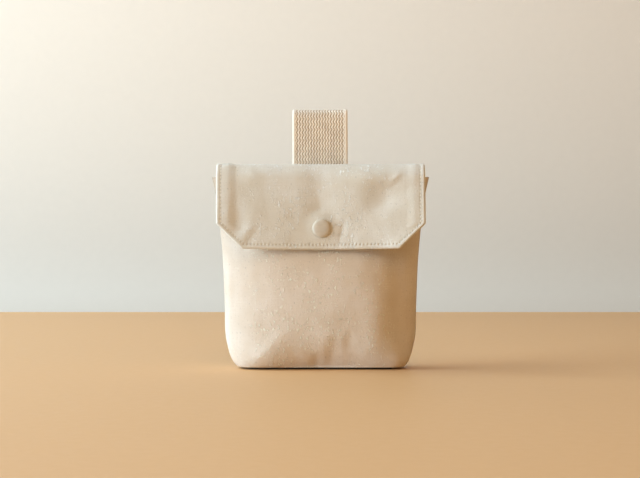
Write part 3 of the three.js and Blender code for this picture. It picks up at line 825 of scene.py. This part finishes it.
def centripetal(points):
    """A smooth curve through the points, as a fine polyline."""
    points = np.array(points)
    padded = np.vstack([2 * points[0] - points[1], points, 2 * points[-1] - points[-2]])
    found = []
    for p0, p1, p2, p3 in zip(padded, padded[1:], padded[2:], padded[3:]):
        t1, t2, t3 = np.cumsum(np.sqrt(np.linalg.norm(np.diff([p0, p1, p2, p3], axis=0), axis=1)))
        t = np.linspace(t1, t2, LOOP_SPAN_STEPS, endpoint=False)[:, None]
        blend = lambda a, b, low, high: ((high - t) * a + (t - low) * b) / (high - low)
        a1, a2, a3 = blend(p0, p1, 0, t1), blend(p1, p2, t1, t2), blend(p2, p3, t2, t3)
        found.append(blend(blend(a1, a2, 0, t2), blend(a2, a3, t1, t3), t1, t2))
    return np.vstack([*found, points[-1]])


def loop_centre():
    """The middle of the webbing in the YZ plane, from its sewn front end, over the top, to the back end, and
    the distance along it."""
    tail_depth = section_value("half_depth", LOOP_SEWN_HEIGHTS) + SEAM_GAP / 2 + SEWN_GAP + FLAP_CLOTH
    near = tail_depth + CLOTH_GAP + WEBBING_CLOTH / 2
    far = near + WEBBING_CLOTH + PIECE_GAP
    heights, near_leg, far_leg = zip(*LOOP_LEGS)
    front = [*zip(near, LOOP_SEWN_HEIGHTS), *zip(near_leg, heights)]
    back = [*zip(far, LOOP_SEWN_HEIGHTS), *zip(far_leg, heights)]
    turns = np.linspace(pi, 0, LOOP_HEAD_STEPS + 1)
    head_height = LOOP_TOP - WEBBING_CLOTH / 2 - LOOP_HEAD_RADIUS
    head_y, head_z = LOOP_HEAD_RADIUS * np.cos(turns), LOOP_HEAD_RADIUS * np.sin(turns)
    head = [*zip(LOOP_HEAD_Y + head_y, head_height + head_z)]
    fine = centripetal(front + head + back[::-1])
    reach = distance_along(fine)
    places = np.linspace(0, reach[-1], round(reach[-1] / WEBBING_STEP) + 1)
    return look_up(fine, reach, places), places


def weave(u, v):
    """Height, from -1 to 0, and how far down into its grooves a point is, for webbing woven in upright
    zigzags; the material paints the grooves darker as painted shade.
    """
    zigzag = np.abs(v / WEAVE_PERIOD % 1 * 2 - 1) - 0.5
    phase = u / WEAVE_PITCH + WEAVE_SWING * zigzag * 2
    groove_painted_shade = hump(phase, np.round(phase), WEAVE_GROOVE)
    to_turn = v - np.round(v / WEAVE_PERIOD * 2) * WEAVE_PERIOD / 2
    return -np.maximum(groove_painted_shade, TUCK_DEPTH * hump(to_turn, 0, TUCK_WIDTH)), groove_painted_shade


def build_loop():
    centre, v = loop_centre()
    half = WEBBING_WIDTH / 2
    columns = round((WEBBING_WIDTH - 2 * SELVAGE) / WEBBING_COLUMN_STEP) + 1
    middle = np.linspace(SELVAGE - half, half - SELVAGE, columns)
    u = np.concatenate([SELVAGE_STEPS - half, middle, (half - SELVAGE_STEPS)[::-1]])
    normal = np.column_stack([np.zeros(len(v)), level_normals(centre)])
    grid_u, grid_v = np.meshgrid(u, v)
    to_edge = half - np.abs(grid_u)
    plain = smooth((to_edge - SELVAGE + SELVAGE_FADE) / (2 * SELVAGE_FADE))
    # The weave's grooves are painted darker by the material, as painted shade.
    height, groove_painted_shade = weave(grid_u, grid_v)
    rib = RIB_HEIGHT * np.cos(grid_v * 2 * pi / RIB_PITCH) * (1 - plain)
    relief = (WEAVE_DEPTH * height * plain + rib) * smooth(to_edge / RELIEF_FADE)
    level = (rolled_thickness(to_edge, SELVAGE_ROLL, WEBBING_CLOTH) + relief)[..., None]
    sway = SWAY * np.sin(v / SWAY_LENGTH) * smooth(v / SWAY_FADE - 1) * smooth((v[-1] - v) / SWAY_FADE - 1)
    rest = np.broadcast_to(centre[:, None], grid_u.shape + (2,))
    base = np.concatenate([(grid_u + sway[:, None])[..., None], rest], 2)
    outer, inner = base + normal[:, None] * level, base - normal[:, None] * level
    # The selvages are painted paler.
    attributes = {"groove_painted_shade": groove_painted_shade * plain, "paler_edge": 1 - plain}
    piece = make_shell("webbing_loop", outer, inner, np.stack([grid_u, grid_v], 2), attributes)
    return piece, Surface(outer, u / half, np.full(len(v), half), v)


def tack_runs(length):
    """A sewn box with a cross in it, near the end of the webbing."""
    side, low, high = TACK_HALF_WIDTH, length - TACK_START - TACK_HEIGHT, length - TACK_START
    corners = [(-side, low), (side, low), (side, high), (-side, high)]
    return sewn_path(corners + corners[:1]) + [SewnRun(*corners[::2]), SewnRun(*corners[1::2])]


# Press snap

SNAP_SIDES = 96
SNAP_BEVEL = 0.3
POST_BEVEL = 0.4
SNAP_ROUND = 0.25
CAP_ROUND = 0.35
CAP_SKIRT = 0.3
CAP_FOOT_INSET = 0.5
STUD_CAP_ROUND = 0.5
ROUND_STEPS = 5
ROUND_SHARE = 1 / 2.2

# The dome of a cap, from its rim to its middle: how far in from the rim, and which part of its height.
DomePoint = namedtuple("DomePoint", "inward height")
DOME = [DomePoint(0, 0.2), DomePoint(0.2, 0.55), DomePoint(1.4, 0.88), DomePoint(CAP_RADIUS / 2, 1.02),
        DomePoint(CAP_RADIUS, 1.04)]


def rounded(profile, radius):
    """The corners of a profile of (radius, height) points cut round."""
    points = [np.array(p, float) for p in profile]
    found = [points[0]]
    for before, corner, after in zip(points, points[1:], points[2:]):
        reach = [np.linalg.norm(p - corner) for p in (before, after)]
        cut = min(radius, min(reach) * ROUND_SHARE)
        start, end = (corner + (p - corner) / r * cut for p, r in zip((before, after), reach))
        for t in np.linspace(0, 1, ROUND_STEPS):
            found.append((1 - t) ** 2 * start + 2 * t * (1 - t) * corner + t * t * end)
    return np.array(found + [points[-1]])


def build_turned(name, profile, radius):
    """A round part about the snap's axis, from a profile that starts and ends on the axis."""
    points = rounded(profile, radius)
    turns = np.arange(SNAP_SIDES) * 2 * pi / SNAP_SIDES
    lean = atan(snap_lean)
    axis = np.array([0, -cos(lean), sin(lean)])
    up = np.array([0, sin(lean), cos(lean)])
    spokes = np.array([1.0, 0, 0]) * np.cos(turns)[:, None] + up * np.sin(turns)[:, None]
    centres = np.array([SNAP_X, -snap_depth, SNAP_HEIGHT]) + axis * points[:, 1:]
    rings = [centre + spokes * r for centre, (r, _) in zip(centres[1:-1], points[1:-1])]
    ids, tube = ring_faces(len(rings), SNAP_SIDES)
    low_centre, high_centre = np.full((2, SNAP_SIDES), [[ids.size], [ids.size + 1]])
    low_end = np.stack([low_centre, np.roll(ids[0], -1), ids[0]], 1)
    high_end = np.stack([high_centre, ids[-1], np.roll(ids[-1], -1)], 1)
    return make_mesh(name, np.vstack(rings + [centres[[0, -1]]]), [tube, low_end, high_end])


def cap_profile(bottom, height, skirt):
    foot = [(0, bottom - skirt), (CAP_RADIUS - CAP_FOOT_INSET, bottom - skirt)]
    return foot + [(CAP_RADIUS - point.inward, bottom + point.height * height) for point in DOME]


def build_snap():
    """The four turned pieces of the snap, by the node that each replaces."""
    stud_top = PIECE_GAP + STUD_BASE
    socket_bottom = stud_top + PIECE_GAP
    socket_top = socket_bottom + SOCKET_THICKNESS
    post_top = stud_top + STUD_POST
    cap_bottom = STAND_OFF + FLAP_CLOTH + PIECE_GAP - SNAP_PRESS
    stud = [(0, PIECE_GAP), (SNAP_RADIUS, PIECE_GAP), (SNAP_RADIUS, stud_top), (STUD_POST_RADIUS, stud_top),
            (STUD_POST_RADIUS, post_top - SNAP_BEVEL), (STUD_POST_RADIUS - POST_BEVEL, post_top),
            (0, post_top)]
    socket = [(0, post_top + PIECE_GAP), (SOCKET_WALL_RADIUS, post_top + PIECE_GAP),
              (SOCKET_WALL_RADIUS, socket_bottom), (SNAP_RADIUS - SNAP_BEVEL, socket_bottom),
              (SNAP_RADIUS, socket_bottom + SNAP_BEVEL), (SNAP_RADIUS, socket_top), (0, socket_top)]
    stud_cap = [(r, -CANVAS - PIECE_GAP - h) for r, h in cap_profile(0, CAP_THICKNESS, 0)][::-1]
    return {
        "snap_cap": build_turned("snap_cap_face", cap_profile(cap_bottom, CAP_DOME, CAP_SKIRT), CAP_ROUND),
        "snap_socket": build_turned("snap_socket_ring", socket, SNAP_ROUND),
        "snap_stud": build_turned("snap_stud_post", stud, SNAP_ROUND),
        "stud_cap": build_turned("snap_stud_back", stud_cap, STUD_CAP_ROUND),
    }


# Materials. Lengths of grains and threads are millimetres, and a bump's depth is metres.

CANVAS_PITCH = 0.56
CANVAS_WOBBLE = 1.1
THREAD_DOME = 0.45
SHEEN_ROUGHNESS = 0.5
FLECKS_END = (34, 58)


def scaled(color, factor):
    return tuple(min(1.0, channel * factor) for channel in color)


class Look:
    """A procedural material, built from short calls."""

    def __init__(self, name):
        self.material = bpy.data.materials.new(name)
        self.material.use_nodes = True
        self.nodes, self.links = self.material.node_tree.nodes, self.material.node_tree.links
        self.nodes.clear()
        self.surface = self.node("ShaderNodeBsdfPrincipled")
        self.node("ShaderNodeOutputMaterial", {"Surface": self.surface.outputs[0]})

    def fill(self, node, inputs):
        """Each socket that is named gets a link or a plain value, and None leaves it alone."""
        for key, value in inputs.items():
            if isinstance(value, bpy.types.NodeSocket):
                self.links.new(value, node.inputs[key])
            elif value is not None:
                node.inputs[key].default_value = value

    def node(self, kind, inputs={}, **settings):
        node = self.nodes.new(kind)
        for key, value in settings.items():
            setattr(node, key, value)
        self.fill(node, inputs)
        return node

    def math(self, operation, a, b=0.0):
        return self.node("ShaderNodeMath", {0: a, 1: b}, operation=operation).outputs[0]

    def plus(self, a, b):
        return self.math("ADD", a, b)

    def times(self, a, b):
        return self.math("MULTIPLY", a, b)

    def cloth_uv(self):
        """The two cloth directions, in millimetres."""
        uv = self.node("ShaderNodeUVMap", uv_map="cloth").outputs[0]
        parts = self.node("ShaderNodeSeparateXYZ", {0: uv}).outputs
        return self.times(parts[0], UV_SPAN), self.times(parts[1], UV_SPAN)

    def noise(self, u, v, length_u, length_v, seed, detail=2.0, roughness=0.5):
        """Noise with grains of about those lengths in millimetres along the two directions."""
        at = {0: self.math("DIVIDE", u, length_u), 1: self.math("DIVIDE", v, length_v), 2: seed}
        place = self.node("ShaderNodeCombineXYZ", at).outputs[0]
        settings = {"Vector": place, "Scale": 1.0, "Detail": detail, "Roughness": roughness}
        return self.node("ShaderNodeTexNoise", settings).outputs["Fac"]

    def ramp(self, value, low, high):
        """0 below low, 1 above high, smooth between."""
        settings = {"Value": value, "From Min": low, "From Max": high}
        return self.node("ShaderNodeMapRange", settings, interpolation_type="SMOOTHSTEP").outputs[0]

    def mix(self, amount, a, b):
        a, b = ((*color, 1.0) if isinstance(color, tuple) else color for color in (a, b))
        return self.node("ShaderNodeMix", {0: amount, 6: a, 7: b}, data_type="RGBA").outputs[2]

    def tinted(self, tone, *layers):
        """The tone with each layer's colour mixed in. A layer is a mask, its strength and its colour."""
        for mask, strength, color in layers:
            tone = self.mix(self.times(mask, strength), tone, color)
        return tone

    def attribute(self, name):
        return self.node("ShaderNodeAttribute", attribute_name=name).outputs["Fac"]

    def bump(self, height, distance, normal=None):
        settings = {"Height": height, "Distance": distance, "Normal": normal}
        return self.node("ShaderNodeBump", settings).outputs[0]

    def finish(self, color, roughness, normal=None, sheen=0.0, specular=0.5):
        self.fill(self.surface, {"Base Color": color, "Roughness": roughness, "Normal": normal})
        self.fill(self.surface, {"Sheen Weight": sheen, "Sheen Roughness": SHEEN_ROUGHNESS})
        self.fill(self.surface, {"Specular IOR Level": specular})
        return self.material


def thread_weave(look, u, v, pitch):
    """Height of a plain weave, whose threads cross over and under each other with soft round tops."""
    a, b = look.math("DIVIDE", u, pitch), look.math("DIVIDE", v, pitch)
    across = [look.math("ABSOLUTE", look.math("SINE", look.times(x, pi))) for x in (a, b)]
    parity = look.plus(look.math("FLOOR", a), look.math("FLOOR", b))
    upper = look.math("MODULO", look.math("ABSOLUTE", parity), 2.0)
    tops = []
    for round_way, long_way in (across, across[::-1]):
        dome = look.plus(look.times(long_way, THREAD_DOME), 1 - THREAD_DOME)
        tops.append(look.times(round_way, dome))
    under = look.times(tops[1], look.math("SUBTRACT", 1.0, upper))
    return look.plus(look.times(tops[0], upper), under)


def canvas_material(name, color, seed):
    look = Look(name)
    u, v = look.cloth_uv()
    noise = lambda step, along_u, along_v, **kind: look.noise(u, v, along_u, along_v, seed + step, **kind)
    wobble_u = look.plus(u, look.times(noise(1, 9, 30), CANVAS_WOBBLE))
    wobble_v = look.plus(v, look.times(noise(2, 30, 9), CANVAS_WOBBLE))
    height = thread_weave(look, wobble_u, wobble_v, CANVAS_PITCH)
    mottle = look.ramp(noise(3, 26, 30), 0.35, 0.65)
    streaks = look.ramp(look.plus(noise(4, 0.9, 14), noise(5, 14, 0.9)), 0.9, 1.2)
    patches = look.ramp(noise(6, 15, 20, detail=1), 0.38, 0.6)
    flecks = look.ramp(noise(7, 1.6, 2.6, roughness=0.6), 0.56, 0.66)
    specks = look.ramp(noise(8, 1.3, 2.0, roughness=0.6), 0.62, 0.72)
    fuzz = noise(9, 0.3, 0.3, detail=3, roughness=0.7)
    middle = look.math("SUBTRACT", 1.2, look.ramp(look.math("ABSOLUTE", u), *FLECKS_END))
    flecks = look.math("MINIMUM", look.times(look.times(flecks, patches), middle), 1.0)
    light, painted_shade_tone = scaled(color, 1.05), scaled(color, 0.6)
    deep = (color[0] * 0.96, color[1] * 0.93, color[2] * 0.88)
    tone = look.tinted(
        look.mix(mottle, light, deep),
        (streaks, 0.35, deep),
        (flecks, 0.9, scaled(color, 1.4)),
        (specks, 0.4, scaled(color, 0.5)),
        # Painted shade in the gaps between the threads.
        (look.math("SUBTRACT", 1.0, height), 0.16, painted_shade_tone),
        # Painted shade along the sewing grooves and the side seams.
        (look.attribute("groove_painted_shade"), 0.35, painted_shade_tone),
        # Paler towards the edges of the cloth.
        (look.attribute("paler_edge"), 0.35, light),
        # Painted shade under the base's lip.
        (look.attribute("base_painted_shade"), 0.9, scaled(color, 0.15)),
    )
    weave_bump = look.bump(look.plus(height, look.times(fuzz, 0.35)), 0.00012)
    normal = look.bump(flecks, 0.0003, weave_bump)
    return look.finish(tone, look.plus(0.82, look.times(fuzz, 0.2)), normal, sheen=0.12, specular=0.25)


def webbing_material(name, color):
    look = Look(name)
    u, v = look.cloth_uv()
    fibre = look.noise(u, v, 0.22, 1.2, 3.0, detail=3, roughness=0.6)
    mottle = look.ramp(look.noise(u, v, 7, 7, 5.0), 0.35, 0.65)
    light, deep = scaled(color, 1.12), (color[0] * 0.42, color[1] * 0.36, color[2] * 0.28)
    tone = look.tinted(
        look.mix(mottle, light, color),
        (look.ramp(fibre, 0.4, 0.65), 0.12, deep),
        # Painted shade in the weave's grooves.
        (look.attribute("groove_painted_shade"), 0.85, deep),
        # Paler at the selvages.
        (look.attribute("paler_edge"), 0.35, light),
    )
    slant = look.plus(u, look.times(v, 0.6))
    ply = look.math("SINE", look.times(slant, 14.0))
    normal = look.bump(look.plus(look.times(ply, 0.25), fibre), 0.00012)
    return look.finish(tone, look.plus(0.8, look.times(fibre, 0.2)), normal, sheen=0.1, specular=0.25)


def thread_material(name, color):
    look = Look(name)
    u, v = look.cloth_uv()
    twist = look.math("SINE", look.plus(look.times(u, 9.0), v))
    grain = look.noise(u, v, 0.5, 2.0, 1.0)
    tone = look.mix(look.ramp(grain, 0.4, 0.6), color, scaled(color, 0.85))
    tone = look.mix(look.ramp(twist, 0.2, 1.0), tone, scaled(color, 0.8))
    normal = look.bump(twist, 0.00006)
    return look.finish(tone, look.plus(0.6, look.times(grain, 0.2)), normal, sheen=0.1, specular=0.3)


def plastic_material(name, color):
    look = Look(name)
    place = look.node("ShaderNodeTexCoord").outputs["Object"]
    parts = look.node("ShaderNodeSeparateXYZ", {0: place}).outputs
    x, z = look.times(parts[0], 1 / MM), look.times(parts[2], 1 / MM)
    grain = look.noise(x, z, 0.25, 0.25, 2.0, roughness=0.6)
    cloud = look.ramp(look.noise(x, z, 4, 4, 7.0), 0.35, 0.65)
    tone = look.mix(cloud, color, scaled(color, 0.93))
    roughness = look.plus(0.42, look.times(grain, 0.16))
    return look.finish(tone, roughness, look.bump(grain, 0.00003), specular=0.4)


def plain_material(name, color, roughness, grain_length):
    look = Look(name)
    place = look.node("ShaderNodeTexCoord").outputs["Object"]
    settings = {"Vector": place, "Scale": 1 / (grain_length * MM), "Detail": 3.0}
    grain = look.node("ShaderNodeTexNoise", settings).outputs["Fac"]
    tone = look.mix(grain, color, scaled(color, 0.97))
    return look.finish(tone, look.plus(roughness, look.times(grain, 0.08)), specular=0.3)


# Stage, light and camera

FLOOR_EDGE_Y = 701
FLOOR_NEAR_Y = -2400
WALL_Y = 1250
WALL_BOTTOM = -900
WALL_TOP = 2200
STAGE_HALF_WIDTH = 2600
FLOOR_COLOR = (0.68, 0.42, 0.205)
WALL_COLOR = (0.99, 0.91, 0.80)
ROOM_COLOR = (1.0, 0.74, 0.48)
ROOM_STRENGTH = 0.03
MIDDLE = (0, 0, 70)

# Square lamps, with their power in watts
Lamp = namedtuple("Lamp", "name place target size power color")
LAMPS = [
    Lamp("window", (-2047, -745, 376), (800, -900, 70), 1200, 77, (0.685, 0.87, 1.0)),
    Lamp("sky", (-1620, 227, 1542), MIDDLE, 1200, 41, (0.73, 0.88, 1.0)),
    Lamp("room", (1840, -1063, 639), MIDDLE, 1200, 6, (1.0, 0.58, 0.2)),
    Lamp("front", (0, -1697, 1767), MIDDLE, 1800, 21, (1.0, 0.72, 0.45)),
]


def build_plane(name, y, z, material):
    """A flat rectangle from the first to the second y and z, as wide as the stage."""
    wide = STAGE_HALF_WIDTH
    corners = [(-wide, y[0], z[0]), (wide, y[0], z[0]), (wide, y[1], z[1]), (-wide, y[1], z[1])]
    piece = make_mesh(name, np.array(corners, float), [np.array([[0, 1, 2, 3]])])
    piece.data.materials.append(material)
    piece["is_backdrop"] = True


def build_stage():
    table = plain_material("pale_table", FLOOR_COLOR, 0.5, 6)
    wall = plain_material("pale_wall", WALL_COLOR, 0.85, 12)
    build_plane("table_top", (FLOOR_NEAR_Y, FLOOR_EDGE_Y), (0, 0), table)
    build_plane("back_wall", (WALL_Y, WALL_Y), (WALL_BOTTOM, WALL_TOP), wall)


def build_lamp(lamp):
    data = bpy.data.lights.new(lamp.name, "AREA")
    data.size, data.energy, data.color = lamp.size * MM, lamp.power, lamp.color
    light = add_object(lamp.name, data)
    light.location = Vector(lamp.place) * MM
    light.rotation_euler = (Vector(lamp.target) - Vector(lamp.place)).to_track_quat("-Z", "Y").to_euler()


def build_lights():
    for lamp in LAMPS:
        build_lamp(lamp)
    world = bpy.data.worlds.new("room")
    world.use_nodes = True
    background = world.node_tree.nodes["Background"]
    background.inputs["Color"].default_value = (*ROOM_COLOR, 1.0)
    background.inputs["Strength"].default_value = ROOM_STRENGTH
    bpy.context.scene.world = world


CAMERA_Y = -920
CAMERA_HEIGHT = 88.4
FRAME_WIDTH = 640
FOCAL_PIXELS = 1339
SENSOR_WIDTH = 36
CLIP_METRES = (0.05, 20)
LEVEL = radians(90)


def build_camera():
    data = bpy.data.cameras.new("photo_view")
    data.sensor_width = SENSOR_WIDTH
    data.lens = FOCAL_PIXELS / FRAME_WIDTH * SENSOR_WIDTH
    data.clip_start, data.clip_end = CLIP_METRES
    camera = add_object("photo_view", data)
    camera.location = Vector((0, CAMERA_Y, CAMERA_HEIGHT)) * MM
    camera.rotation_euler = (LEVEL, 0, 0)
    bpy.context.scene.camera = camera


def dress(piece, material, slot, *nodes):
    piece.data.materials.append(material)
    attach(piece, "root")
    if nodes:
        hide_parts(*nodes)


CANVAS_COLOR = (0.785, 0.695, 0.60)
# The flap is of the same canvas as the body; its colour is set paler and cooler, as painted light for the
# cool light from above that the flap catches.
FLAP_PAINTED_LIGHT_COLOR = (0.78, 0.755, 0.69)
WEBBING_COLOR = (0.90, 0.82, 0.71)
THREAD_COLOR = (0.95, 0.90, 0.80)
PLASTIC_COLOR = (0.62, 0.56, 0.465)


def build_pouch():
    canvas = canvas_material("body_canvas", CANVAS_COLOR, 10.0)
    # A paler, cooler copy of the body canvas, with painted light in its colour.
    flap_painted_light_canvas = canvas_material("flap_canvas", FLAP_PAINTED_LIGHT_COLOR, 40.0)
    webbing = webbing_material("cotton_webbing", WEBBING_COLOR)
    thread = thread_material("cotton_thread", THREAD_COLOR)
    plastic = plastic_material("snap_plastic", PLASTIC_COLOR)

    front = build_panel("front_canvas", -1, FRONT_FOLDS, True, FRONT_RIPPLE)
    back = build_panel("back_canvas", 1, BACK_FOLDS, False, BACK_RIPPLE)
    dress(front, canvas, "canvas", "front_panel")
    dress(back, canvas, "canvas", "back_panel")

    flap, flap_surface, flap_sewing = build_flap()
    dress(flap, flap_painted_light_canvas, "flap_canvas", "flap")
    flap_stitches = build_stitches("flap_topstitching", flap_surface, flap_sewing)
    dress(flap_stitches, thread, "flap_canvas")

    loop, loop_surface = build_loop()
    dress(loop, webbing, "webbing", "belt_loop")
    tack_stitches = build_stitches("webbing_tack", loop_surface, tack_runs(loop_surface.v[-1]))
    dress(tack_stitches, thread, "webbing")

    for node, piece in build_snap().items():
        dress(piece, plastic, "snap_plastic", node)


build_camera()
build_pouch()
build_stage()
build_lights()
bpy.context.scene.view_settings.view_transform = "Standard"

boxes = {"cad": cad_box, "visual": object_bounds()}
{key: [list(corner) for corner in box] for key, box in boxes.items()}
